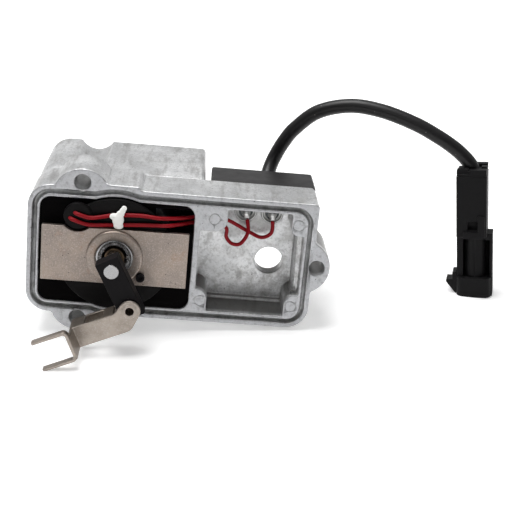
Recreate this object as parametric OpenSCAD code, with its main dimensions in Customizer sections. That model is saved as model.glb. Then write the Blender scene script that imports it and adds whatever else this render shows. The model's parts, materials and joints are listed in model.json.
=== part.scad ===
// Engine governor actuator: a limited-angle motor in a cast housing that bolts over an injection pump.
// Frame: X along the face, Y back from the face into the housing, Z up, origin at the middle of the face.

/* [Housing] */
// Length of the mounting face
face_l = 124.6; // [122:0.2:128]
// Height of the mounting face
face_h = 58.4; // [57:0.2:60]
// Corner radius of the mounting face
face_r = 10; // [9:0.5:11]
// Depth of the front part of the casting
flange_d = 24.4; // [24:0.2:26]
// Depth of the whole casting
can_d = 76; // [74:1:80]
// Width of the rim between the outer edge and the motor opening
rim_w = 5.3; // [5:0.1:5.6]
// Distance of the motor axis from the middle of the face
motor_offset = 24.2; // [23.8:0.1:24.6]
// Radius of the outer bulge round the motor axis
bulge_r = 30.9; // [30.5:0.1:31.5]

/* [Ears] */
// Diameter of the mounting bolt holes
ear_hole_d = 7; // [6.4:0.1:7.4]
// Radius of each ear
ear_r = 12.4; // [12:0.1:13]
// Distance of the left-hand holes from the middle of the face
ear_left = 39.4; // [39:0.1:40]
// Height of the left-hand holes above and below the middle
ear_up = 31.2; // [30.8:0.1:31.6]
// Distance of the right-hand hole from the middle of the face
ear_right = 63.8; // [63.4:0.1:64.4]

/* [Seal groove] */
// Width of the groove for the pump's seal
groove_w = 1.9; // [1.7:0.1:2]
// Depth of the groove
groove_depth = 3.2; // [2.6:0.1:3.6]
// Distance of the groove from the outer edge
groove_in = 2.1; // [1.9:0.1:2.2]

/* [Motor] */
// Shaft diameter
shaft_d = 6.35; // [6:0.05:6.5]
// Outer diameter of the bearings
bearing_od = 15.875; // [15.5:0.025:16]
// Width of the bearings
bearing_w = 4.98; // [4.8:0.02:5.2]
// Length of the pole plate
plate_l = 62.8; // [61:0.2:63.4]
// Height of the pole plate
plate_h = 25; // [24.4:0.2:25.2]
// Thickness of the pole plate
plate_t = 2.5; // [2:0.1:3]
// Radius of the bobbin cheek
cheek_r = 25.2; // [24.8:0.1:25.3]
// Diameter of the bearing flange
flange_od = 24.4; // [24:0.1:25]

/* [Lever and link] */
// Distance from the shaft to the link pivot
lever_reach = 18.6; // [18:0.1:19]
// Width of the lever
lever_w = 10.2; // [9.8:0.1:10.6]
// Thickness of the lever
lever_t = 7; // [6.6:0.1:7.2]
// Angle of the lever from straight down when the spring holds it
lever_angle = 27.5; // [25:0.5:30]
// Slope of the link below level
link_angle = 23.9; // [21:0.1:26]
// Thickness of the link's sheet
link_t = 1.4; // [1.2:0.1:1.5]
// Bore of the pivot eyelet
eyelet_bore = 3.6; // [3.2:0.1:3.8]

/* [Cable and plug] */
// Cable diameter
cable_d = 6.7; // [6:0.1:7]
// Diameter of the red leads
lead_d = 1.7; // [1.5:0.1:1.9]
// Width of the plug
plug_w = 14; // [13.6:0.1:14.4]
// Depth of the plug
plug_deep = 14.6; // [14:0.1:15.2]

/* [Hidden] */
$fn = 64;

// Fits and gaps
cut = 1;
free_gap = 0.3;
pivot_clearance = 0.05;
seat_gap = 0.02;

// Housing
motor = [-motor_offset, 0];
half_l = face_l / 2;
half_h = face_h / 2;
edge_r = 2;
bulge_half_l = 9.8;
opening_right = 8.9;
opening_r = face_r - rim_w;
frame_right = opening_right - opening_r - 2;
cavity_r = bulge_r - rim_w;
front_cavity_d = 20;
back_wall = 6;
cavity_d = can_d - back_wall;
rear_cavity_h = 20;
can_right = 12.9;
can_left_r = 10.5;
can_inset = 0.2;
boss_wall = 3;
boss_h = 13;
boss_front = cavity_d - boss_h;
ear_inset = 6.5;
ear_d = 22.7;
channel_r = 8.8;
channel_out = 2.7;
ears = [[-ear_left, ear_up], [-ear_left, -ear_up], [ear_right, 0]];
ear_bodies = [
    [-ear_left, ear_up - ear_inset], [-ear_left, ear_inset - ear_up], [ear_right - ear_inset, 0]
];

// Wiring pocket
pocket_left = 11.6;
pocket_right = 57;
pocket_ledge = 54.5;
pocket_ledge_y = 6;
pocket_half_h = half_h - rim_w;
pocket_d = 17.5;
pocket_r = 2;
post_left = 16.9;
post_right = 51;
post_bottom = -13.4;
post_top = 14;
low_post_r = 5;
top_post_r = 3.4;
land_r = 5;
land_right = 23.2;
land_bottom = 13.6;
land_t = 3.5;
step_size = 1.5;
access_hole = [43.9, -4.3];
access_hole_r = 6.3;
window_y = [land_t, 10];
window_z = [11.5, 22];
pad_at = [19.5, 12];
pad_r = 2.8;
pad_t = 0.8;
mark_r = 2.6;
mark_w = 0.35;
mark_depth = 0.25;
marks = [[17.6, 19.3], [54.1, 19.2], [54.1, -18.9], [13.9, -19]];

// Motor
shaft_r = shaft_d / 2;
bearing_r = bearing_od / 2;
ball_r = 1.19;
race_r = (shaft_r + bearing_r) / 2;
ball_room = 0.12;
inner_race_r = race_r - ball_r - ball_room;
outer_race_r = race_r + ball_r + ball_room;
shield_r = 5.5;
shield_t = 0.4;
ball_count = 7;
plate_front = -4;
plate_back = plate_front + plate_t;
potting_front = 0.8;
potting_back = 7;
hub_r = 10.2;
flange_front = plate_front - 1.6;
front_bearing_y = flange_front + 0.4;
rear_bearing_y = boss_front + 1;
lead_boss = [-40.7, 16.8];
lead_boss_r = 6;
lead_boss_front = plate_back - 1.4;
notch = [-40.7, 18];
notch_r = 7.6;
trough_x = [-8, opening_right];
spring_y = [boss_front - 7, boss_front - 4];
core_y = [10, spring_y[0] - 4];
core_r = cavity_r - seat_gap;
rotor_r = 13;
rotor_gap = 0.4;
rotor_flat = 9.5;
rotor_y = [core_y[0] + 2, core_y[1] - 2];
slot_x = [12, 21];
slot_half_h = 8;
winding_gap = 0.4;
winding_end = 6;
spring_in = shaft_r + 0.6;
spring_out = 11;
spring_turns = 4;
spring_t = 0.5;
spring_steps = 24;
stop_at = [-12.6, -8.4];
stop_r = 1.9;
stop_head_t = 1.8;
stop_socket_r = 1.1;
stop_shank_r = 1.4;

// Lever and link
shaft_front = -21.9;
shaft_back = rear_bearing_y + bearing_w;
lever_front = shaft_front + 0.2;
lever_back = lever_front + lever_t;
lever_top = 5.1;
lever_tail = 4;
pivot = motor + lever_reach * [sin(lever_angle), -cos(lever_angle)];
eyelet_r = 2.4;
eyelet_flare_r = 3.1;
eyelet_flare_t = 0.3;
link_front = lever_front - free_gap - link_t;
link_back = lever_back + free_gap + link_t;
link_head_r = 4.6;
link_heel = [-4.5, -3.6];
link_heel_r = 5;
link_end = -25.3;
link_top = 1;
link_bottom = -8.6;
tab_spans = [[-11.8, -7.1], [link_end, -20.2]];
fork_front = -34.5;
fork_deep = 3.2;
fork_top = 4.6;
fork_bottom = -9.5;
fork_tip = -41;
fork_bend_r = 2.4;

// Terminals and terminal cover
terminals = [[31.6, 18.3], [43.4, 18.3]];
terminal_r = 4.8;
terminal_glass_r = 3.2;
terminal_rim = 0.6;
pin_r = 0.8;
pin_front = 14.4;
pin_back = 34;
bead_r = 1.6;
cover_x = [15.7, 62.4];
cover_z = [5, half_h - 0.1];
cover_back = 46.2;
cover_r = 1;
cable_seat = 40;

// Routes
cable_route = [
    [42, cable_seat, 18.5], [42, cover_back, 18.5], [42, 53, 19.3], [42.8, 60, 22.6], [44.4, 64.4, 27.4],
    [46.6, 66, 32.6], [49.6, 65.6, 39], [54, 64.2, 46], [63.6, 60.8, 55.6], [77.6, 56.2, 60.8],
    [92, 51.6, 60.7], [107, 46.8, 57.2], [118, 43.4, 52.8], [126, 41.2, 48.6], [131, 40, 45],
    [134, 39.2, 42.2], [135.4, 39, 40.2]
];
lead_a_route = [
    [-40, -3.85, 18], [-36, -3.85, 17], [-32.5, -3.6, 17.2], [-25, -2.8, 18.6], [-14, -2.8, 19.2],
    [-6, -2.7, 18.6], [2, 1, 18], [9, 6.3, 17.5], [16, 8.5, 17.3], [23, 10.5, 16], [34, 13.4, 9.8],
    [39.4, 13.2, 7.9], [43.5, 13.2, 10.3], [43.7, 13.4, 15.8]
];
lead_b_route = [
    [-42, -3.85, 15.4], [-37, -3.85, 14], [-33, -3.6, 13.8], [-25, -2.8, 14.2], [-11, -2.8, 15.2],
    [-2.5, -2.6, 15.5], [3.5, 1.8, 15.2], [9, 6.3, 15], [16, 8.5, 14.6], [23, 9.6, 12.6], [23.6, 10, 8],
    [26.4, 10.2, 5], [30.2, 10.4, 5.3], [33, 11, 10.5], [32.3, 12.8, 15.9]
];

// Tie round the leads
tie_x = [-25.2, -21.6];
tie_y = [-4.6, -1.55];
tie_z = [12.65, 20.7];
tie_inside_y = [-3.9, -1.75];
tie_inside_z = [13.1, 20];
tie_head = [4.2, 2.4, 4.6];
tie_tail = [2.2, 1, 5];

// Plug, in its own frame with Z along the plug, the mating end at the bottom and the front at minus Y
plug_base = [145.2, 39, -21.2];
plug_lean = 9;
plug_turn = -16;
plug_z = [30.6, 60.2];
plug_r = 1.2;
half_w = plug_w / 2;
half_deep = plug_deep / 2;
collar_x = [-half_w - 0.3, half_w + 1.9];
collar_half_deep = half_deep - 0.5;
collar_h = 10;
collar_r = 3;
collar_wall = 1.6;
tower_x = 1.45;
tower_r = 4.95;
rail_w = 3;
rail_half_deep = 4.5;
frame_x = [half_w + 1.2, half_w + 2.5];
frame_top = 31.4;
frame_bridge = 3.2;
frame_half_deep = 4;
ramp_out = 4.9;
ramp_top = [6.6, 7.8];
ramp_half_deep = 3.5;
nib = [[-9.2, 7], [-7.2, 11.6]];
window = [[-1.7, 34.2], [2.7, 38.4]];
window_depth = 2.5;
strap_x = [-3.8, 2.8, 6];
strap_z = [30.2, 33.5, 41.2];
strap_out = 1.1;
contact_r = 1.1;
contact_apart = 2.2;
contact_z = [4, 40];
seal_r = 4.3;
cable_seal_z = [plug_z[1] - 8, plug_z[1] + 2];
lock_base_h = 1.2;
lock_inset = 0.2;
hood_x = [lock_inset - half_w, -0.9];
hood_y = [0.8 - half_deep, -cable_d / 2 - 0.4];
hood_h = 3.6;
hood_r = 1.2;
rib_count = 3;
rib_t = 3;
rib_h = 3.2;

// Cylinder along Y at a point in the XZ plane
module rod(at, r, y0, y1) {
    translate([at.x, y1, at.y]) rotate([90, 0, 0]) cylinder(r = r, h = y1 - y0);
}

// Flat XZ shape carried along Y
module slab(y0, y1) {
    translate([0, y1, 0]) rotate([90, 0, 0]) linear_extrude(y1 - y0) children();
}

module tube(at, r_in, r_out, y0, y1) {
    difference() {
        rod(at, r_out, y0, y1);
        rod(at, r_in, y0 - cut, y1 + cut);
    }
}

module box(lo, hi) {
    translate(lo) cube(hi - lo);
}

module flat(lo, hi) {
    translate(lo) square(hi - lo);
}

module round_rect(lo, hi, r) {
    translate([lo.x + r, lo.y]) square([hi.x - lo.x - 2 * r, hi.y - lo.y]);
    translate([lo.x, lo.y + r]) square([hi.x - lo.x, hi.y - lo.y - 2 * r]);
    for (x = [lo.x + r, hi.x - r], z = [lo.y + r, hi.y - r]) translate([x, z]) circle(r = r);
}

// Two circles joined by their outer tangents
module strap(a, ra, b, rb) {
    gap = b - a;
    turn = atan2(gap.y, gap.x);
    lean = acos((ra - rb) / norm(gap));
    translate(a) circle(r = ra);
    translate(b) circle(r = rb);
    polygon([
        a + ra * [cos(turn + lean), sin(turn + lean)], b + rb * [cos(turn + lean), sin(turn + lean)],
        b + rb * [cos(turn - lean), sin(turn - lean)], a + ra * [cos(turn - lean), sin(turn - lean)]
    ]);
}

// Outline of the mounting face, moved in from the edge
module face_outline(inset) {
    round_rect([inset - half_l, inset - half_h], [half_l - inset, half_h - inset], face_r - inset);
    translate(motor) circle(r = bulge_r - inset);
}

// Outer edge of the casting: the face with a flat pad above and below the motor and one squarer corner
module casting_outline() {
    round_rect([-half_l, -half_h], [half_l, half_h], face_r);
    round_rect([motor.x - bulge_half_l, -bulge_r], [motor.x + bulge_half_l, bulge_r], edge_r);
    round_rect([half_l - 2 * face_r, 0], [half_l, half_h], edge_r);
}

module motor_opening() {
    round_rect([rim_w - half_l, rim_w - half_h], [opening_right, half_h - rim_w], opening_r);
    translate(motor) circle(r = cavity_r);
}

module rear_opening() {
    round_rect([rim_w - half_l, -rear_cavity_h], [opening_right, rear_cavity_h], opening_r);
    translate(motor) circle(r = cavity_r);
}

module can_outline() {
    round_rect([can_inset - half_l, -half_h], [motor.x, half_h], can_left_r);
    round_rect([motor.x - can_left_r, -half_h], [can_right, half_h], pocket_r);
}

// Smooth curve through the route's points
function at_curve(p, i, t) = let (
    a = p[max(i - 1, 0)], b = p[i], c = p[i + 1], d = p[min(i + 2, len(p) - 1)]
) 0.5 * (2 * b + (c - a) * t + (2 * a - 5 * b + 4 * c - d) * t * t + (3 * b - a - 3 * c + d) * t * t * t);
function curve(p, steps) = concat(
    [for (i = [0:len(p) - 2], k = [0:steps - 1]) at_curve(p, i, k / steps)], [p[len(p) - 1]]
);
function unit(v) = v / norm(v);
function heading(p, i) = unit(p[min(i + 1, len(p) - 1)] - p[max(i - 1, 0)]);
function ring(p, i, r, sides, across) = let (
    u = unit(cross(heading(p, i), across)), v = cross(u, heading(p, i))
) [for (k = [0:sides - 1]) p[i] + r * (cos(360 * k / sides) * u + sin(360 * k / sides) * v)];

// Round cord swept along a route
module cord(route, d, steps, sides, across) {
    p = curve(route, steps);
    n = len(p);
    points = [for (i = [0:n - 1]) each ring(p, i, d / 2, sides, across)];
    walls = [for (i = [0:n - 2], k = [0:sides - 1]) let (m = (k + 1) % sides)
        [i * sides + k, i * sides + m, (i + 1) * sides + m, (i + 1) * sides + k]];
    caps = [[for (k = [sides - 1:-1:0]) k], [for (k = [0:sides - 1]) (n - 1) * sides + k]];
    polyhedron(points, concat(walls, caps));
}

module pocket() {
    difference() {
        union() {
            slab(-cut, pocket_ledge_y)
                round_rect([pocket_left, -pocket_half_h], [pocket_right, pocket_half_h], pocket_r);
            slab(0, pocket_d)
                round_rect([pocket_left, -pocket_half_h], [pocket_ledge, pocket_half_h], pocket_r);
        }
        slab(-2 * cut, pocket_d + cut) {
            round_rect([post_right, post_top], [half_l, half_h], top_post_r);
            round_rect([post_right, -half_h], [half_l, post_bottom], low_post_r);
            round_rect([pocket_left - 2 * low_post_r, -half_h], [post_left, post_bottom], low_post_r);
        }
        slab(-2 * cut, land_t)
            round_rect([pocket_left - 2 * land_r, land_bottom], [land_right, half_h], land_r);
        box([pocket_left, pocket_d - step_size, -half_h],
            [post_right, pocket_d + cut, step_size - pocket_half_h]);
        rod(pad_at, pad_r, pocket_d - pad_t, pocket_d + cut);
    }
}

// Front of the casting between two places along the face
module front_casting(x0, x1) {
    difference() {
        intersection() {
            union() {
                slab(0, flange_d) casting_outline();
                for (k = [0, 1]) rod(ear_bodies[k], ear_r, 0, ear_d);
                rod(ear_bodies[2], ear_r, 0, flange_d);
            }
            box([x0, -cut, -face_h], [x1, flange_d + cut, face_h]);
        }
        slab(-cut, groove_depth) difference() {
            face_outline(groove_in);
            face_outline(groove_in + groove_w);
        }
        slab(-cut, front_cavity_d) motor_opening();
        slab(0, flange_d + cut) rear_opening();
        pocket();
        box([opening_right - cut, window_y[0], window_z[0]], [pocket_left + cut, window_y[1], window_z[1]]);
        for (e = ears) rod(e, ear_hole_d / 2, -cut, flange_d + cut);
        bolt_channels();
        for (t = terminals) rod(t, terminal_r, pocket_d - cut, flange_d + cut);
        rod(access_hole, access_hole_r, pocket_d - cut, flange_d + cut);
        for (m = marks) tube(m, mark_r - mark_w, mark_r, -cut, mark_depth);
    }
}

module bolt_channels() {
    for (side = [-1, 1]) rod([-ear_left, side * (ear_up + channel_out)], channel_r, ear_d, can_d + cut);
}

// One casting in three nodes that meet face to face: the frame round the motor, the wiring box and the can
module housing() color("silver") front_casting(-face_l, frame_right);
module wiring_box() color("silver") front_casting(frame_right, face_l);
module motor_can() color("silver") {
    difference() {
        slab(flange_d, can_d) can_outline();
        slab(0, cavity_d) rear_opening();
        bolt_channels();
    }
    tube(motor, bearing_r + seat_gap, bearing_r + boss_wall, boss_front, cavity_d + cut);
}

module stator_core() color("gray")
    difference() {
        rod(motor, core_r, core_y[0], core_y[1]);
        rod(motor, rotor_r + rotor_gap, core_y[0] - cut, core_y[1] + cut);
        for (side = [-1, 1]) translate([motor.x, 0, 0]) mirror([side < 0 ? 1 : 0, 0, 0])
            box([slot_x[0], core_y[0] - cut, -slot_half_h], [slot_x[1], core_y[1] + cut, slot_half_h]);
    }

// Half ring of wire over each end of the core
module winding_end_turn(y0, y1) {
    translate([motor.x, y1, 0]) rotate([90, 0, 0]) rotate_extrude(angle = 180)
        translate([rotor_r + 2 * rotor_gap, 0])
            square([slot_x[1] - rotor_r - 2 * rotor_gap - winding_gap, y1 - y0]);
}

module coil_winding() color("saddlebrown") {
    for (side = [-1, 1]) translate([motor.x, 0, 0]) mirror([side < 0 ? 1 : 0, 0, 0])
        box([rotor_r + 2 * rotor_gap, core_y[0] - winding_gap, winding_gap - slot_half_h],
            [slot_x[1] - winding_gap, core_y[1] + winding_gap, slot_half_h - winding_gap]);
    winding_end_turn(core_y[1] + winding_gap, core_y[1] + winding_end - rotor_gap);
    winding_end_turn(core_y[0] - winding_gap - 2, core_y[0] - winding_gap);
}

module coil_bobbin() color("#1a1a1a")
    difference() {
        union() {
            rod(motor, cheek_r, plate_back, potting_front);
            rod(lead_boss, lead_boss_r, lead_boss_front, plate_back + cut);
        }
        rod(motor, hub_r + free_gap, plate_back - cut, potting_front + cut);
    }

module potting() color("#111111")
    difference() {
        slab(potting_front, potting_back) motor_opening();
        rod(motor, hub_r + free_gap, potting_front - cut, potting_back + cut);
        box([trough_x[0], potting_front - cut, window_z[0] + 0.5],
            [trough_x[1] + cut, potting_back + cut, window_z[1]]);
    }

module pole_plate() color("#9a9088")
    difference() {
        box([motor.x - plate_l / 2, plate_front, -plate_h / 2],
            [motor.x + plate_l / 2, plate_back, plate_h / 2]);
        rod(motor, hub_r + seat_gap, plate_front - cut, plate_back + cut);
        rod(notch, notch_r, plate_front - cut, plate_back + cut);
        rod(stop_at, stop_shank_r, plate_front - cut, plate_back + cut);
    }

module bearing_flange() color("#a39a92")
    difference() {
        union() {
            rod(motor, flange_od / 2, flange_front, plate_front);
            rod(motor, hub_r, plate_front - cut, front_bearing_y + bearing_w + cut);
        }
        rod(motor, bearing_r + seat_gap, flange_front - cut, front_bearing_y + bearing_w);
        rod(motor, shield_r, flange_front, front_bearing_y + bearing_w + 2 * cut);
    }

// Bearing parts, with the front face of the bearing at y
module bearing_outer(y) {
    tube(motor, outer_race_r, bearing_r, y, y + bearing_w);
    tube(motor, shield_r, outer_race_r + cut / 2, y + shield_t, y + 2 * shield_t);
}

module bearing_balls(y) {
    for (k = [0:ball_count - 1]) let (turn = 360 * k / ball_count)
        translate([motor.x + race_r * cos(turn), y + bearing_w / 2, race_r * sin(turn)]) sphere(r = ball_r);
}

module bearing_inner(y) {
    tube(motor, shaft_r, inner_race_r, y, y + bearing_w);
}

module front_bearing_outer() color("gainsboro") bearing_outer(front_bearing_y);
module front_bearing_balls() color("white") bearing_balls(front_bearing_y);
module front_bearing_inner() color("#7a6a55") bearing_inner(front_bearing_y);
module rear_bearing_outer() color("gainsboro") bearing_outer(rear_bearing_y);
module rear_bearing_balls() color("white") bearing_balls(rear_bearing_y);
module rear_bearing_inner() color("gainsboro") bearing_inner(rear_bearing_y);

// Flat spiral: out along one side of the strip and back along the other
module return_spring() color("slategray")
    translate([motor.x, 0, 0]) slab(spring_y[0], spring_y[1]) {
        count = spring_turns * spring_steps;
        pitch = (spring_out - spring_in) / count;
        polygon(concat(
            [for (k = [0:count]) (spring_in + k * pitch)
                * [cos(360 * k / spring_steps), sin(360 * k / spring_steps)]],
            [for (k = [count:-1:0]) (spring_in + k * pitch + spring_t)
                * [cos(360 * k / spring_steps), sin(360 * k / spring_steps)]]
        ));
    }

module stop_screw() color("#222222")
    difference() {
        union() {
            rod(stop_at, stop_r, plate_front - stop_head_t, plate_front);
            rod(stop_at, stop_shank_r, plate_front - cut, plate_back);
        }
        translate([stop_at.x, plate_front - 1, stop_at.y]) rotate([90, 0, 0])
            cylinder(r = stop_socket_r, h = stop_head_t, $fn = 6);
    }

module shaft() color("gainsboro")
    rod(motor, shaft_r, shaft_front, shaft_back);

module rotor() color("dimgray")
    difference() {
        intersection() {
            rod(motor, rotor_r, rotor_y[0], rotor_y[1]);
            box([motor.x - rotor_r, rotor_y[0], -rotor_flat], [motor.x + rotor_r, rotor_y[1], rotor_flat]);
        }
        rod(motor, shaft_r, rotor_y[0] - cut, rotor_y[1] + cut);
    }

// Lever frame: shaft at the origin, pivot straight below it
module in_lever_frame() {
    translate([motor.x, 0, motor.y]) rotate([0, -lever_angle, 0]) children();
}

module lever() color("#26262a")
    in_lever_frame() difference() {
        box([-lever_w / 2, lever_front, -lever_reach - lever_tail], [lever_w / 2, lever_back, lever_top]);
        rod([0, 0], shaft_r, lever_front - cut, lever_back + cut);
        rod([0, -lever_reach], eyelet_r + pivot_clearance, lever_front - cut, lever_back + cut);
    }

// Link frame: pivot at the origin, fork towards minus X
module in_link_frame() {
    translate([pivot.x, 0, pivot.y]) rotate([0, -link_angle, 0]) children();
}

module pivot_eyelet() color("#8a6f5a")
    in_link_frame() difference() {
        union() {
            rod([0, 0], eyelet_r, link_front, link_back);
            rod([0, 0], eyelet_flare_r, link_front - eyelet_flare_t, link_front);
            rod([0, 0], eyelet_flare_r, link_back, link_back + eyelet_flare_t);
        }
        rod([0, 0], eyelet_bore / 2, link_front - cut, link_back + cut);
    }

module link_cheek(y) {
    difference() {
        slab(y, y + link_t) {
            strap([0, 0], link_head_r, link_heel, link_heel_r);
            flat([link_end, link_bottom], [link_heel.x, link_top]);
        }
        rod([0, 0], eyelet_r, y - cut, y + link_t + cut);
    }
}

module link() color("#a09080")
    in_link_frame() {
        link_cheek(link_front);
        link_cheek(link_back - link_t);
        for (s = tab_spans)
            box([s[0], link_front + link_t / 2, link_top - link_t], [s[1], link_back - link_t / 2, link_top]);
        box([link_end - link_t, fork_front, link_bottom], [link_end, link_back, link_top]);
        slab(fork_front, fork_front + fork_deep) difference() {
            round_rect([fork_tip - fork_bend_r, fork_bottom], [link_end, fork_top], fork_bend_r);
            round_rect([fork_tip - 3 * fork_bend_r, fork_bottom + link_t],
                [link_end - link_t, fork_top - link_t], fork_bend_r - link_t);
            flat([fork_tip - 2 * fork_bend_r, 2 * fork_bottom], [fork_tip, 2 * fork_top]);
        }
    }

module lead_wire_a() color("crimson") cord(lead_a_route, lead_d, 2, 8, [0.2, 1, 0.1]);
module lead_wire_b() color("crimson") cord(lead_b_route, lead_d, 2, 8, [0.2, 1, 0.1]);

module cable_tie() color("white") {
    difference() {
        box([tie_x[0], tie_y[0], tie_z[0]], [tie_x[1], tie_y[1], tie_z[1]]);
        box([tie_x[0] - cut, tie_inside_y[0], tie_inside_z[0]],
            [tie_x[1] + cut, tie_inside_y[1], tie_inside_z[1]]);
    }
    translate([tie_x[0] + 0.8, tie_y[0] - tie_head.y + 0.2, tie_z[1] - tie_head.z]) cube(tie_head);
    translate([tie_x[1] - 0.4, tie_y[0] - tie_tail.y, tie_z[1] - 1]) rotate([0, 20, 0]) cube(tie_tail);
}

module terminal_shells() color("silver")
    for (t = terminals) difference() {
        rod(t, terminal_r, pocket_d - terminal_rim, flange_d);
        rod(t, terminal_glass_r, pocket_d - cut, flange_d + cut);
        rod(t, terminal_r - terminal_rim, pocket_d - cut, pocket_d);
    }

module terminal_glass() color("darkslategray")
    for (t = terminals) tube(t, pin_r, terminal_glass_r, pocket_d + terminal_rim, flange_d);

module terminal_pins() color("lightgray")
    for (t = terminals) {
        rod(t, pin_r, pin_front, pin_back);
        translate([t.x, pin_front, t.y]) sphere(r = bead_r);
    }

module terminal_cover() color("#1c1c1e")
    difference() {
        slab(flange_d, cover_back) round_rect([cover_x[0], cover_z[0]], [cover_x[1], cover_z[1]], cover_r);
        for (t = terminals) rod(t, pin_r, flange_d - cut, pin_back);
        rod([cable_route[0].x, cable_route[0].z], cable_d / 2, cable_seat, cover_back + cut);
    }

module cable() color("#141416") cord(cable_route, cable_d, 2, 10, [0.5, 0.7, -0.5]);

module in_plug_frame() {
    translate(plug_base) rotate([0, -plug_lean, 0]) rotate([0, 0, plug_turn]) children();
}

module collar_section(wall) {
    round_rect([collar_x[0] + wall, wall - collar_half_deep], [collar_x[1] - wall, collar_half_deep - wall],
        collar_r - wall);
}

module connector_body() color("#161618")
    in_plug_frame() difference() {
        union() {
            linear_extrude(collar_h) collar_section(0);
            translate([tower_x, 0, collar_h - cut]) cylinder(r = tower_r, h = plug_z[0] - collar_h + 2 * cut);
            translate([0, 0, plug_z[0]]) linear_extrude(plug_z[1] - plug_z[0])
                round_rect([-half_w, -half_deep], [half_w, half_deep], plug_r);
            box([-half_w, -rail_half_deep, collar_h - cut],
                [rail_w - half_w, rail_half_deep, plug_z[0] + cut]);
            box([frame_x[0], -frame_half_deep, 0], [frame_x[1], frame_half_deep, frame_top]);
            box([half_w - cut, -frame_half_deep, frame_top - frame_bridge],
                [frame_x[1], frame_half_deep, frame_top]);
            slab(-ramp_half_deep, ramp_half_deep) polygon([
                [collar_x[0] + cut, 0], [collar_x[0], 0], [collar_x[0] - ramp_out, ramp_top[0]],
                [collar_x[0] - ramp_out, ramp_top[1]], [collar_x[0] + cut, ramp_top[1]]
            ]);
            slab(-ramp_half_deep, ramp_half_deep) flat(nib[0], nib[1]);
            slab(-half_deep - strap_out, cut - half_deep) {
                flat([strap_x[0], strap_z[0]], [strap_x[2], strap_z[1]]);
                flat([strap_x[1], strap_z[0]], [strap_x[2], strap_z[2]]);
            }
        }
        translate([0, 0, -cut]) linear_extrude(collar_h - collar_wall + cut) collar_section(collar_wall);
        for (side = [-1, 1]) translate([tower_x + side * contact_apart, 0, contact_z[0]])
            cylinder(r = contact_r, h = contact_z[1] - contact_z[0]);
        slab(-half_deep - cut, window_depth - half_deep) flat(window[0], window[1]);
        translate([0, 0, cable_seal_z[0]]) cylinder(r = seal_r, h = plug_z[1]);
    }

module connector_lock() color("#1b1b1d")
    in_plug_frame() difference() {
        union() {
            translate([0, 0, plug_z[1]]) linear_extrude(lock_base_h)
                round_rect([lock_inset - half_w, lock_inset - half_deep],
                    [half_w - lock_inset, half_deep - lock_inset], plug_r);
            slab(hood_y[0], hood_y[1])
                round_rect([hood_x[0], plug_z[1]], [hood_x[1], plug_z[1] + hood_h], hood_r);
            for (k = [0:rib_count - 1]) let (y = lock_inset - half_deep
                + k * (plug_deep - 2 * lock_inset - rib_t) / (rib_count - 1))
                box([hood_x[1], y, plug_z[1]], [half_w - lock_inset, y + rib_t, plug_z[1] + rib_h]);
        }
        translate([0, 0, plug_z[1] - cut]) cylinder(r = seal_r + seat_gap, h = hood_h + 2 * cut);
    }

module connector_contacts() color("#b0a070")
    in_plug_frame() for (side = [-1, 1]) translate([tower_x + side * contact_apart, 0, contact_z[0]])
        cylinder(r = contact_r, h = contact_z[1] - contact_z[0]);

module cable_seal() color("#2a2a2a")
    in_plug_frame() translate([0, 0, cable_seal_z[0]])
        cylinder(r = seal_r, h = cable_seal_z[1] - cable_seal_z[0]);

housing();
wiring_box();
motor_can();
stator_core();
coil_winding();
coil_bobbin();
potting();
pole_plate();
bearing_flange();
front_bearing_outer();
front_bearing_balls();
front_bearing_inner();
rear_bearing_outer();
rear_bearing_balls();
rear_bearing_inner();
return_spring();
stop_screw();
shaft();
rotor();
lever();
pivot_eyelet();
link();
lead_wire_a();
lead_wire_b();
cable_tie();
terminal_shells();
terminal_glass();
terminal_pins();
terminal_cover();
cable();
connector_body();
connector_lock();
connector_contacts();
cable_seal();
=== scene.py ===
import json
from math import radians

import bmesh
import bpy
from mathutils import Matrix, Vector


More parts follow.
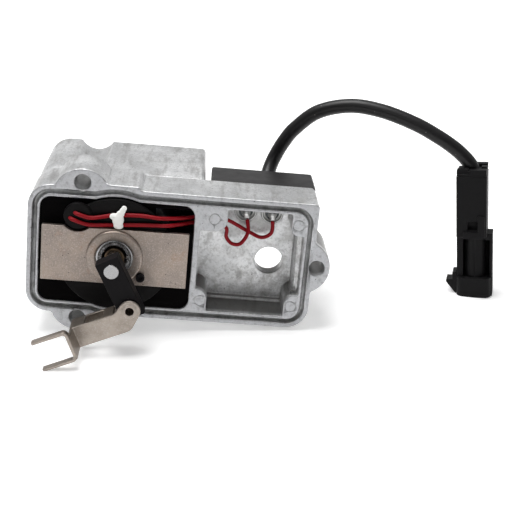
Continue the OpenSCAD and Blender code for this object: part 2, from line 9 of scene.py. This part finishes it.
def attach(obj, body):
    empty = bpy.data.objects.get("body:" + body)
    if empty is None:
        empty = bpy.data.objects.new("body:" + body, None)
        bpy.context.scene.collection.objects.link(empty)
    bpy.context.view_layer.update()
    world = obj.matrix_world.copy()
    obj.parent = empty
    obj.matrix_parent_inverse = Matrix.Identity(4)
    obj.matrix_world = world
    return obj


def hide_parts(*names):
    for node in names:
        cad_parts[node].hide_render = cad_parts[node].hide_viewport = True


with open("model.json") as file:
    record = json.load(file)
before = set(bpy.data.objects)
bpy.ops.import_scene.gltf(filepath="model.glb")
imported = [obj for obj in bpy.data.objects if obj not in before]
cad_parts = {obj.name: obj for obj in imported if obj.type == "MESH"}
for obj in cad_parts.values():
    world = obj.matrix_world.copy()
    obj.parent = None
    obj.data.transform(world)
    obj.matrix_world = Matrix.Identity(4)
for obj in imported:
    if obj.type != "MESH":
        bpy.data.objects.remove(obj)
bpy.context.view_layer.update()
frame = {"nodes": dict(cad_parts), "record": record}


# Housing: a pressure die-cast aluminium body, blasted after casting, with its mounting face milled flat.
# It carries every other piece, and it keeps the casting's fillets, ejector marks and small pits.
class Flow:
    """An output socket in a material. Arithmetic on it adds Math nodes."""

    def __init__(self, tree, socket):
        self.tree, self.socket = tree, socket

    def node(self, kind, settings, sockets, output=0):
        made = self.tree.nodes.new("ShaderNode" + kind)
        for key, value in settings.items():
            setattr(made, key, value)
        for key, value in sockets.items():
            if isinstance(value, Flow):
                self.tree.links.new(value.socket, made.inputs[key])
            else:
                made.inputs[key].default_value = value
        return Flow(self.tree, made.outputs[output]) if len(made.outputs) else made

    def math(self, operation, *values):
        return self.node("Math", {"operation": operation}, dict(enumerate(values)))

    def __add__(self, other):
        return self.math("ADD", self, other)

    def __sub__(self, other):
        return self.math("SUBTRACT", self, other)

    def __rsub__(self, other):
        return self.math("SUBTRACT", other, self)

    def __mul__(self, other):
        return self.math("MULTIPLY", self, other)

    __radd__, __rmul__ = __add__, __mul__

    def noise(self, scale, detail=3, rough=0.5):
        return self.node("TexNoise", {}, {"Vector": self, "Scale": scale, "Detail": detail, "Roughness": rough})

    def stretched(self, *scale):
        return self.node("Mapping", {}, {"Vector": self, "Scale": scale})

    def rise(self, low, high):
        """0 below low, 1 above high, smooth between."""
        return self.node("MapRange", {"interpolation_type": "SMOOTHSTEP"},
                         {0: self, 1: low, 2: high, 3: 0.0, 4: 1.0})

    def between(self, first, second):
        """The colour that lies this far from the first to the second."""
        return self.node("Mix", {"data_type": "RGBA"}, {0: self, 6: first, 7: second}, 2)

    def specks(self, scale, size, share):
        """1 in small round spots, in that share of the cells of a grid of random points."""
        sockets = {"Vector": self, "Scale": scale}
        spot = 1 - self.node("TexVoronoi", {}, sockets, "Distance").rise(0.6 * size, size)
        chance = self.node("TexVoronoi", {}, sockets, "Color").split()[0]
        return spot * (1 - chance.rise(share - 0.01, share))

    def edges(self, radius):
        """0 on open faces, rising along sharp edges."""
        turned = self.node("Bevel", {"samples": 6}, {"Radius": radius})
        normal = self.node("NewGeometry", {}, {}, "Normal")
        return 1 - self.node("VectorMath", {"operation": "DOT_PRODUCT"}, {0: turned, 1: normal}, "Value")

    def bump(self, height, depth):
        return self.node("Bump", {}, {"Height": height, "Strength": 1.0, "Distance": depth})

    def split(self):
        made = self.node("SeparateXYZ", {}, {0: self})
        return [Flow(self.tree, socket) for socket in made.socket.node.outputs]

    def shade(self, **sockets):
        named = {key.replace("_", " "): value for key, value in sockets.items()}
        shader = self.node("BsdfPrincipled", {}, named)
        self.node("OutputMaterial", {}, {"Surface": shader})


def surface(name):
    """A new material and the point on the piece that it shades, in metres."""
    material = bpy.data.materials.new(name)
    material.use_nodes = True
    tree = material.node_tree
    tree.nodes.clear()
    spot = tree.nodes.new("ShaderNodeTexCoord")
    return material, Flow(tree, spot.outputs["Object"])


def rgb(red, green, blue):
    return (red, green, blue, 1.0)


MM = 0.001
solid = frame["nodes"]
home = {node: body for body, nodes in frame["record"]["behaviour"]["bodies"].items() for node in nodes}


def stand_in(name, data, material, *nodes):
    """A new piece with its material, which moves with the solids that it stands for."""
    made = bpy.data.objects.new(name, data)
    bpy.context.scene.collection.objects.link(made)
    data.materials.append(material)
    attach(made, home[nodes[0]])
    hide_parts(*nodes)
    return made


def united(first, *others):
    """One mesh of solids that meet or overlap."""
    base = bpy.data.objects.new("united", first.data.copy())
    bpy.context.scene.collection.objects.link(base)
    for other in others:
        join = base.modifiers.new(other.name, "BOOLEAN")
        join.operation, join.solver, join.object = "UNION", "EXACT", other
    mesh = bpy.data.meshes.new_from_object(base.evaluated_get(bpy.context.evaluated_depsgraph_get()))
    bpy.data.objects.remove(base)
    return mesh


def eased(name, nodes, material, fillet=0, edge=0, untouched=lambda spot: False, added=()):
    """A copy of one or more solids with fillets in its inner corners and its outer edges eased, in metres."""
    weld, flat, corner = 0.001 * MM, radians(0.4), radians(36)
    nodes = nodes.split()
    work = bmesh.new()
    work.from_mesh(united(*(solid[node] for node in nodes), *added))
    bmesh.ops.remove_doubles(work, verts=work.verts, dist=weld)
    bmesh.ops.dissolve_limit(work, angle_limit=flat, verts=work.verts, edges=work.edges)
    for outward, size in ((False, fillet), (True, edge)):
        corners = [e for e in work.edges if e.is_manifold and e.is_convex == outward
                   and e.calc_face_angle() > corner and not untouched((e.verts[0].co + e.verts[1].co) / 2)]
        if size:
            bmesh.ops.bevel(work, geom=corners, offset=size, offset_type="OFFSET", segments=2 + outward,
                            profile=0.5, affect="EDGES", clamp_overlap=False, material=-1)
        bmesh.ops.triangulate(work, faces=work.faces)
    mesh = bpy.data.meshes.new(name)
    work.to_mesh(mesh)
    work.free()
    mesh.shade_smooth()
    made = stand_in(name, mesh, material, *nodes)
    made.modifiers.new("normals", "WEIGHTED_NORMAL").keep_sharp = True
    return made


cast_alloy, at = surface("cast_alloy")
x, y, z = at.split()
milled = 1 - y.rise(0.00005, 0.0003)
cloud = at.noise(55, 5, 0.6)
grain = at.noise(2400, 2, 0.6)
mottle = at.noise(900, 4, 0.8).rise(0.48, 0.66)
streak = at.stretched(1, 0.22, 1).noise(210, 5, 0.72).rise(0.46, 0.68)
stain = at.stretched(1, 0.5, 1).noise(60, 6, 0.7).rise(0.5, 0.72)
rubbed = at.noise(420, 4, 0.7).rise(0.48, 0.72)
pits = at.specks(330, 0.1, 0.4)
# Painted shade: the alloy darkens in crevices, inner corners and the seal groove, found by ambient occlusion
# over 4 mm.
crevice_shade = 1 - at.node("AmbientOcclusion", {"samples": 6}, {"Distance": 0.004}, "AO").rise(0.3, 0.85)
# Painted shade: a wider occlusion darkens hollows behind the face near the top, to shade the contour of the ear
# boss.
hollow_shade = 1 - at.node("AmbientOcclusion", {"samples": 6}, {"Distance": 0.012}, "AO").rise(0.4, 0.92)
hollow_shade = hollow_shade * y.rise(0.004, 0.007) * z.rise(0.022, 0.026)
# Painted highlight and wear: sharp edges are lightened in patches, partly as rubbed metal and partly as light
# caught along them.
edge_wear_and_highlight = at.edges(0.0007).rise(0.03, 0.3) * at.noise(600, 3).rise(0.3, 0.6)
skin = cloud.rise(0.35, 0.65).between(rgb(0.58, 0.585, 0.59), rgb(0.77, 0.775, 0.78))
skin = (0.6 * stain).between(skin, rgb(0.36, 0.355, 0.335))
skin = (0.8 * streak).between(skin, rgb(0.38, 0.375, 0.37))
# Painted shade: surfaces inside the pocket that face up, below the top of the can, are darkened to near black.
upward = at.node("NewGeometry", {}, {}, "Normal").split()[2].rise(0.3, 0.8)
pocket_floor_shade = upward * y.rise(0.0015, 0.004) * (1 - z.rise(0.022, 0.024))
skin = (0.75 * pocket_floor_shade).between(skin, rgb(0.13, 0.125, 0.115))
face = rubbed.between(rgb(0.46, 0.465, 0.48), rgb(0.28, 0.28, 0.285))
alloy = edge_wear_and_highlight.between(milled.between(skin, face), rgb(0.84, 0.84, 0.83))
alloy = (0.28 * crevice_shade).between(alloy, rgb(0.09, 0.087, 0.082))
alloy = (0.6 * hollow_shade).between(alloy, rgb(0.15, 0.147, 0.14))
alloy = (0.5 * mottle).between(alloy, rgb(0.27, 0.27, 0.275))
at.shade(
    Base_Color=(0.85 * pits).between(alloy, rgb(0.07, 0.065, 0.06)),
    Metallic=0.92,
    Roughness=0.36 + 0.12 * grain + 0.08 * stain,
    Normal=at.bump(grain + 0.8 * cloud - 1.5 * pits - 0.5 * streak, 0.0001),
)
mark_reach = 2.8 * MM
marks = [Vector((x, 0, z)) * MM for x, z in ((17.6, 19.3), (54.1, 19.2), (54.1, -18.9), (13.9, -19))]
flange_depth, can_right, can_half_height = 24.4 * MM, 13 * MM, 29.3 * MM
thin_wall_x, thin_wall_reach, thin_wall_half_height = 60.6 * MM, 0.6 * MM, 2.6 * MM


def kept_sharp(spot):
    """True in the ejector marks, on the thin wall between the groove and the right ear's hole, and where the
    front of the casting meets the can in one smooth surface."""
    seam = abs(spot.y - flange_depth) < 0.01 * MM and spot.x < can_right and abs(spot.z) < can_half_height
    thin = (spot.y < 0.1 * MM and abs(spot.x - thin_wall_x) < thin_wall_reach
            and abs(spot.z) < thin_wall_half_height)
    return seam or thin or any((spot - mark).length < mark_reach for mark in marks)


for name, nodes in (("front_casting", "housing wiring_box"), ("rear_casting", "motor_can")):
    eased(name, nodes, cast_alloy, fillet=0.9 * MM, edge=0.5 * MM, untouched=kept_sharp)


# Motor inside: a laminated steel core with a copper winding, round a steel rotor on the shaft. They are
# pushed in from the front and potted, and a flat spiral spring of steel turns the rotor back.
def dress(material, *names):
    for name in names:
        slots = solid[name].data.materials
        slots.clear()
        slots.append(material)


core_steel, at = surface("core_steel")
leaves = at.split()[1] * 2000
leaf = leaves.math("FRACT", leaves)
at.shade(Base_Color=leaf.between(rgb(0.16, 0.16, 0.17), rgb(0.22, 0.22, 0.23)), Metallic=0.9,
         Roughness=0.45 + 0.1 * leaf, Normal=at.bump(leaf, 0.00005))
dress(core_steel, "stator_core", "rotor")

winding_copper, at = surface("winding_copper")
strand = at.noise(2500, 2)
at.shade(Base_Color=strand.between(rgb(0.42, 0.16, 0.06), rgb(0.55, 0.25, 0.11)), Metallic=1.0,
         Roughness=0.3 + 0.2 * strand, Normal=at.bump(strand, 0.00006))
dress(winding_copper, "coil_winding")

spring_steel, at = surface("spring_steel")
scale = at.noise(1200, 3)
at.shade(Base_Color=scale.between(rgb(0.16, 0.17, 0.20), rgb(0.30, 0.30, 0.33)), Metallic=1.0,
         Roughness=0.28 + 0.1 * scale)
dress(spring_steel, "return_spring")


# Bobbin cheek and potting: a black moulded cheek with the boss that the leads leave, and the black
# compound poured round it that fills the opening.
black_resin, at = surface("black_resin")
pour = at.noise(110, 3, 0.55)
fine = at.noise(1800, 2)
at.shade(
    Base_Color=pour.between(rgb(0.0008, 0.0006, 0.0007), rgb(0.0022, 0.0017, 0.0019)),
    Roughness=0.6 + 0.25 * pour,
    Specular_IOR_Level=0.04,
    Normal=at.bump(pour + 0.1 * fine, 0.0003),
)
dress(black_resin, "potting")

bobbin_black, at = surface("bobbin_black")
gloss = at.noise(160, 3)
fine = at.noise(1700, 2)
at.shade(
    Base_Color=fine.between(rgb(0.0025, 0.0022, 0.0024), rgb(0.0055, 0.0050, 0.0052)),
    Roughness=0.38 + 0.2 * gloss,
    Specular_IOR_Level=0.1,
    Normal=at.bump(gloss + 0.2 * fine, 0.0002),
)
eased("bobbin_cheek", "coil_bobbin", bobbin_black, fillet=0.6 * MM, edge=0.5 * MM)


# Pole plate and bearing flange: stamped and turned steel with a dull nickel plating. The plate lies across
# the opening on the bobbin, and the flange is pressed through it to hold the front bearing.
dull_nickel, at = surface("dull_nickel")
cloud = at.noise(85, 4, 0.6)
speck = at.noise(1700, 4, 0.75)
tarnish = at.noise(150, 5, 0.7).rise(0.54, 0.7)
pits = at.specks(430, 0.13, 0.4) + at.specks(1100, 0.16, 0.4)
# Painted highlight and wear: the edges are lightened to near white, partly as rubbed plating and partly as the
# light that the top edge catches.
edge_wear_and_highlight = at.edges(0.0005).rise(0.03, 0.3)
warm = cloud.rise(0.35, 0.7).between(rgb(0.26, 0.222, 0.198), rgb(0.335, 0.275, 0.232))
warm = (0.6 * tarnish).between(warm, rgb(0.27, 0.165, 0.115))
plating = speck.rise(0.46, 0.72).between(warm, rgb(0.44, 0.385, 0.35))
at.shade(
    Base_Color=(0.8 * pits).between(edge_wear_and_highlight.between(plating, rgb(0.80, 0.75, 0.69)), rgb(0.045, 0.038, 0.032)),
    Metallic=1.0,
    Roughness=0.36 + 0.16 * speck,
    Normal=at.bump(speck - pits, 0.00005),
)
eased("front_pole_plate", "pole_plate", dull_nickel, edge=0.35 * MM)
eased("bearing_retainer", "bearing_flange", dull_nickel, edge=0.95 * MM,
      untouched=lambda spot: spot.y > -4.5 * MM)


# Bearings and shaft: ground bearing steel. The front bearing sits in the flange, the rear one in the
# housing's boss, and the shaft runs through both.
bright_steel, at = surface("bright_steel")
haze = at.noise(700, 3)
at.shade(Base_Color=haze.between(rgb(0.28, 0.28, 0.285), rgb(0.39, 0.385, 0.385)), Metallic=1.0,
         Roughness=0.18 + 0.16 * haze, Normal=at.bump(haze, 0.00002))
dress(bright_steel, "front_bearing_balls", "rear_bearing_outer", "rear_bearing_balls", "rear_bearing_inner",
      "connector_contacts")
eased("front_outer_ring", "front_bearing_outer", bright_steel, edge=0.25 * MM)
eased("output_shaft", "shaft", bright_steel, edge=0.25 * MM)

oiled_steel, at = surface("oiled_steel")
film = at.noise(900, 3)
at.shade(Base_Color=film.between(rgb(0.08, 0.055, 0.035), rgb(0.18, 0.13, 0.085)), Metallic=1.0,
         Roughness=0.3 + 0.2 * film)
eased("front_inner_ring", "front_bearing_inner", oiled_steel, edge=0.25 * MM)


# Stop screw and lever: black-oxide steel. The screw limits the lever's swing, and the lever is a sawn bar
# pressed on the shaft.
black_oxide, at = surface("black_oxide")
wear = at.noise(1300, 3)
rub = at.edges(0.0005).rise(0.04, 0.35)
chips = at.specks(600, 0.1, 0.12)
oxide = wear.between(rgb(0.005, 0.0045, 0.005), rgb(0.010, 0.009, 0.010))
at.shade(
    Base_Color=(0.7 * chips).between(rub.between(oxide, rgb(0.05, 0.05, 0.05)), rgb(0.22, 0.20, 0.18)),
    Roughness=0.42 + 0.2 * wear,
    Specular_IOR_Level=0.08,
    Normal=at.bump(wear, 0.00003),
)
eased("swing_stop", "stop_screw", black_oxide, edge=0.2 * MM)
eased("lever_bar", "lever", black_oxide, edge=0.35 * MM)


# Link and eyelet: a link folded from sheet steel and nickel plated, with a fork of two prongs at its end.
# A hollow rivet holds it to the lever, and it swings on that.
plated_sheet, at = surface("plated_sheet")
cloud = at.noise(140, 4, 0.6)
speck = at.noise(1900, 4, 0.75)
# Painted highlight and wear: the edges are lightened, partly as rubbed plating and partly as light caught along
# them.
edge_wear_and_highlight = at.edges(0.0005).rise(0.03, 0.3)
warm = cloud.rise(0.35, 0.7).between(rgb(0.27, 0.235, 0.205), rgb(0.36, 0.315, 0.275))
toned = speck.rise(0.48, 0.74).between(warm, rgb(0.45, 0.41, 0.37))
at.shade(
    Base_Color=edge_wear_and_highlight.between(toned, rgb(0.66, 0.63, 0.60)),
    Metallic=1.0,
    Roughness=0.32 + 0.2 * speck,
    Normal=at.bump(speck, 0.00004),
)
eased("fork_link", "link", plated_sheet, fillet=0.4 * MM, edge=0.35 * MM)
eased("hollow_rivet", "pivot_eyelet", plated_sheet, edge=0.15 * MM)


# Leads: two stranded copper wires in smooth red sleeving. They leave the bobbin's boss, pass through the
# window beside the opening and end at the terminals.
red_sleeve, at = surface("red_sleeve")
scuff = at.noise(600, 3)
at.shade(
    Base_Color=scuff.between(rgb(0.20, 0.0012, 0.005), rgb(0.30, 0.0025, 0.009)),
    Roughness=0.38 + 0.15 * scuff,
    Specular_IOR_Level=0.2,
    Normal=at.bump(scuff, 0.00003),
)


def along(route, steps=8):
    """Points of one smooth curve through the route's points, in metres."""
    points = [Vector(p) * MM for p in route]
    ends = [points[0], *points, points[-1]]
    line = []
    for a, b, c, d in zip(ends, ends[1:], ends[2:], ends[3:]):
        for k in range(steps):
            t = k / steps
            line.append(0.5 * (2 * b + (c - a) * t + (2 * a - 5 * b + 4 * c - d) * t ** 2
                               + (3 * b - a - 3 * c + d) * t ** 3))
    return [*line, points[-1]]


def wire(name, route, diameter, material, node):
    """A round wire along a route, which stands for that solid. Returns it and its length."""
    line = along(route)
    curve = bpy.data.curves.new(name, "CURVE")
    curve.dimensions = "3D"
    curve.bevel_depth, curve.bevel_resolution, curve.use_fill_caps = diameter / 2, 5, True
    spline = curve.splines.new("POLY")
    spline.points.add(len(line) - 1)
    for point, place in zip(spline.points, line):
        point.co = (*place, 1)
    spline.use_smooth = True
    return stand_in(name, curve, material, node), sum((b - a).length for a, b in zip(line, line[1:]))


lead_diameter = 1.7 * MM
wire("lead_a", [
    [-42.1, -1.8, 18.4], [-41.5, -3.1, 18.3], [-40, -3.85, 18], [-36, -3.85, 17], [-32.5, -3.6, 17.2],
    [-25, -2.8, 18.6], [-14, -2.8, 19.2], [-6, -2.7, 18.6], [2, 1, 18], [9, 6.3, 17.5], [16, 8.5, 17.3],
    [23, 10.5, 16], [34, 13.4, 9.8], [39.4, 13.2, 7.9], [43.5, 13.2, 10.3], [43.7, 13.4, 15.8],
], lead_diameter, red_sleeve, "lead_wire_a")
wire("lead_b", [
    [-44.1, -1.8, 16], [-43.5, -3.1, 15.8], [-42, -3.85, 15.4], [-37, -3.85, 14], [-33, -3.6, 13.8],
    [-25, -2.8, 14.2], [-11, -2.8, 15.2], [-2.5, -2.6, 15.5], [3.5, 1.8, 15.2], [9, 6.3, 15],
    [16, 8.5, 14.6], [23, 9.6, 12.6], [23.6, 10, 8], [26.4, 10.2, 5], [30.2, 10.4, 5.3], [33, 11, 10.5],
    [32.3, 12.8, 15.9],
], lead_diameter, red_sleeve, "lead_wire_b")


# Tie: white nylon pulled tight round both leads, with its end cut short and standing up. It holds the leads
# together in front of the bobbin.
white_nylon, at = surface("white_nylon")
milk = at.noise(900, 3)
at.shade(Base_Color=milk.between(rgb(0.92, 0.92, 0.88), rgb(0.97, 0.97, 0.94)), Roughness=0.4 + 0.15 * milk,
         Normal=at.bump(milk, 0.00003))


lump_grain = 0.14 * MM


def melted(name, material, node, lumps, *meshes):
    """One smooth lump: balls given by their middle and half sizes in millimetres, run together with solids."""
    work = bmesh.new()
    for mesh in meshes:
        work.from_mesh(mesh)
    for middle, half in lumps:
        bmesh.ops.create_icosphere(work, subdivisions=3, radius=MM,
                                   matrix=Matrix.Translation(Vector(middle) * MM) @ Matrix.Diagonal((*half, 1)))
    mesh = bpy.data.meshes.new(name)
    work.to_mesh(mesh)
    work.free()
    made = stand_in(name, mesh, material, node)
    skin = made.modifiers.new("skin", "REMESH")
    skin.mode, skin.voxel_size, skin.use_smooth_shade = "VOXEL", lump_grain, True
    made.modifiers.new("flow", "SMOOTH").iterations = 5


melted("lead_tie", white_nylon, "cable_tie", [
    [(-23.5, -3.5, 16.9), (2.5, 1.45, 3.2)], [(-25.3, -3.5, 18.2), (1.9, 1.3, 1.5)],
    [(-23.2, -3.4, 14.2), (2.2, 1.35, 1.6)], [(-22.6, -3.6, 19.6), (1.7, 1.1, 1.6)],
    [(-21.8, -3.6, 21.0), (1.3, 0.9, 1.5)], [(-21.2, -3.6, 22.2), (1.2, 0.8, 1.2)],
])


# Terminals: two feedthroughs, each a tinned cup with a pin sealed in it by glass. They are pressed into the
# pocket's back wall, and each lead is soldered to its pin.
tinned, at = surface("tinned_metal")
flow = at.noise(900, 3)
at.shade(Base_Color=flow.between(rgb(0.50, 0.50, 0.49), rgb(0.66, 0.66, 0.65)), Metallic=1.0,
         Roughness=0.25 + 0.2 * flow, Normal=at.bump(flow, 0.00005))
melted("soldered_pins", tinned, "terminal_pins", [
    [(31.6, 15.6, 18.1), (2.0, 1.5, 1.9)], [(32.2, 14.2, 16.9), (1.4, 1.3, 1.6)],
    [(43.4, 15.6, 18.1), (2.0, 1.5, 1.9)], [(43.7, 14.3, 16.8), (1.4, 1.3, 1.6)],
], solid["terminal_pins"].data)
eased("terminal_cups", "terminal_shells", tinned, edge=0.2 * MM)

seal_glass, at = surface("seal_glass")
cloud = at.noise(1100, 3)
at.shade(Base_Color=cloud.between(rgb(0.02, 0.03, 0.03), rgb(0.05, 0.06, 0.06)), Roughness=0.12 + 0.1 * cloud)
dress(seal_glass, "terminal_glass")


# Terminal cover: a block of hard black compound on the back of the flange. It is cast over the terminals
# and the cable's end, and holds by itself.
cover_black, at = surface("cover_black")
ripple = at.noise(170, 3)
fine = at.noise(1500, 2)
at.shade(
    Base_Color=fine.between(rgb(0.006, 0.0055, 0.006), rgb(0.013, 0.012, 0.0125)),
    Roughness=0.32 + 0.2 * ripple,
    Specular_IOR_Level=0.3,
    Normal=at.bump(ripple + 0.15 * fine, 0.0001),
)
eased("cover_block", "terminal_cover", cover_black, edge=0.3 * MM)


# Cable: two cores in one round, smooth black jacket, stiff enough to stand up by itself. It is cast into
# the cover at one end and sealed in the plug at the other.
jacket, at = surface("cable_jacket")
mottle = at.noise(220, 3)
fine = at.noise(2600, 3, 0.7)
dust = at.specks(420, 0.1, 0.12)
rubber = fine.between(rgb(0.004, 0.004, 0.004), rgb(0.010, 0.009, 0.010))
at.shade(
    Base_Color=dust.between(rubber, rgb(0.16, 0.15, 0.15)),
    Roughness=0.3 + 0.15 * mottle,
    Specular_IOR_Level=0.3,
    Normal=at.bump(fine, 0.00003),
)
cable_diameter = 6.7 * MM
cable, cable_length = wire("cable_lead", [
    [42, 40, 18.5], [42, 46.2, 18.5], [42, 53, 19.3], [42.8, 60, 22.6], [44.4, 64.4, 27.4],
    [46.6, 66, 32.6], [49.6, 65.6, 39], [54, 64.2, 46], [63.6, 60.8, 55.6], [77.6, 56.2, 60.8],
    [92, 51.6, 60.7], [107, 46.8, 57.2], [118, 43.4, 52.8], [126, 41.2, 48.6], [131, 40, 45],
    [134, 39.2, 42.2], [135.4, 39, 40.2],
], cable_diameter, jacket, "cable")


# Plug: a sealed two-way connector moulded in black nylon, with a round tower and a thin wall behind it. Its
# lock is pushed in round the cable, over the cable's rubber seal.
plug_nylon, at = surface("plug_nylon")
fine = at.noise(1900, 3, 0.6)
rub = at.edges(0.0005).rise(0.03, 0.35)
nylon = fine.between(rgb(0.004, 0.004, 0.0045), rgb(0.010, 0.0095, 0.010))
at.shade(
    Base_Color=rub.between(nylon, rgb(0.04, 0.04, 0.04)),
    Roughness=0.36 + 0.2 * fine,
    Specular_IOR_Level=0.1,
    Normal=at.bump(fine, 0.00004),
)
dress(plug_nylon, "cable_seal")
web_low, web_high = Vector((-4.5, 2.2, 9.4)), Vector((8.6, 3.6, 31.0))
plug_base, plug_lean, plug_turn = (145.2 * MM, 39 * MM, -21.2 * MM), radians(-9), radians(-16)
plug_place = (Matrix.Translation(plug_base) @ Matrix.Rotation(plug_lean, 4, "Y")
              @ Matrix.Rotation(plug_turn, 4, "Z"))
wall = bmesh.new()
bmesh.ops.create_cube(wall, size=MM, matrix=plug_place @ Matrix.Translation((web_low + web_high) / 2 * MM)
                      @ Matrix.Diagonal((*(web_high - web_low), 1)))
mesh = bpy.data.meshes.new("plug_web")
wall.to_mesh(mesh)
wall.free()
web = bpy.data.objects.new("plug_web", mesh)
bpy.context.scene.collection.objects.link(web)
plug = eased("plug_shell", "connector_body", plug_nylon, edge=0.35 * MM, added=[web])
bpy.data.objects.remove(web)
lock = eased("plug_lock", "connector_lock", plug_nylon, edge=0.3 * MM)


# Floor: the white table that the part lies on. It touches the lower ear, a corner of the flange and the
# fork, so it slopes a little against the part.
slope_x, slope_y, table_half = 0.0848, 0.055, 3
floor_up = Vector((-slope_x, -slope_y, 1)).normalized()
floor_at = Vector((-39.4, 22, -37.3)) * MM
sheet = bmesh.new()
bmesh.ops.create_grid(sheet, x_segments=1, y_segments=1, size=table_half)
level = Vector((0, 0, 1)).rotation_difference(floor_up).to_matrix()
bmesh.ops.rotate(sheet, verts=sheet.verts, cent=(0, 0, 0), matrix=level)
bmesh.ops.translate(sheet, verts=sheet.verts, vec=floor_at)
mesh = bpy.data.meshes.new("floor")
sheet.to_mesh(mesh)
sheet.free()
floor = bpy.data.objects.new("floor", mesh)
bpy.context.scene.collection.objects.link(floor)
table_white, at = surface("table_white")
far = at.node("VectorMath", {"operation": "LENGTH"}, {0: at}, "Value").rise(0.12, 0.6)
at.shade(Base_Color=rgb(0.86, 0.86, 0.86), Roughness=0.6, Emission_Strength=1.0,
         Emission_Color=far.between(rgb(0.36, 0.36, 0.36), rgb(0.75, 0.75, 0.75)))
mesh.materials.append(table_white)


# Light: a white room that is bright above, behind and beside the part and dim on the side of the viewer,
# with one wide soft lamp overhead and a weak one in front.
world = bpy.data.worlds.new("white_room")
bpy.context.scene.world = world
world.use_nodes = True
room = world.node_tree
room.nodes.clear()
way = Flow(room, room.nodes.new("ShaderNodeTexCoord").outputs["Generated"])
path = room.nodes.new("ShaderNodeLightPath")
seen = Flow(room, path.outputs["Is Camera Ray"])
glossy, passed = Flow(room, path.outputs["Is Glossy Ray"]), Flow(room, path.outputs["Is Transmission Ray"])
mirrored = glossy.math("MAXIMUM", glossy, passed)
x, y, z = way.split()
dimmest, added_light, added_in_mirrors = 0.02, 0.4, 0.4
bright = (y + 0.7 * z).rise(-0.6, 0.3)
glow = (dimmest + added_light * bright) * (1 + added_in_mirrors * mirrored)
background = seen.node("Background", {}, {"Color": rgb(1, 1, 1), "Strength": seen + (1 - seen) * glow})
seen.node("OutputWorld", {}, {"Surface": background})


def lamp(name, place, aim, size, power):
    light = bpy.data.lights.new(name, "AREA")
    light.shape, light.size, light.energy = "DISK", size, power
    made = bpy.data.objects.new(name, light)
    bpy.context.scene.collection.objects.link(made)
    made.location = place
    made.rotation_euler = (Vector(aim) - Vector(place)).to_track_quat("-Z", "Y").to_euler()


lamp("overhead", place=(-0.22, 0.06, 0.88), aim=(0, 0, 0), size=0.66, power=9.2)
lamp("front", place=(-0.25, -0.9, 0.55), aim=(0, 0, 0), size=0.4, power=0.8)


# Camera: where the photograph was taken from, a little above the part and turned by a few degrees. Its place
# and focal length come from a fit to the face, the ears and the top edges.
film_width, picture_px, focal_px = 36, 512, 1153.85
eye, turn, tilt, roll = (0.0023, -0.4697, 0.1791), radians(-4.201), radians(90 - 20.416), radians(5.690)
camera = bpy.data.cameras.new("camera")
camera.sensor_width = film_width
camera.lens = film_width * focal_px / picture_px
viewer = bpy.data.objects.new("camera", camera)
bpy.context.scene.collection.objects.link(viewer)
viewer.matrix_world = (Matrix.Translation(eye) @ Matrix.Rotation(turn, 4, "Z") @ Matrix.Rotation(tilt, 4, "X")
                       @ Matrix.Rotation(roll, 4, "Z"))
bpy.context.scene.camera = viewer
bpy.context.scene.view_settings.view_transform = "Standard"
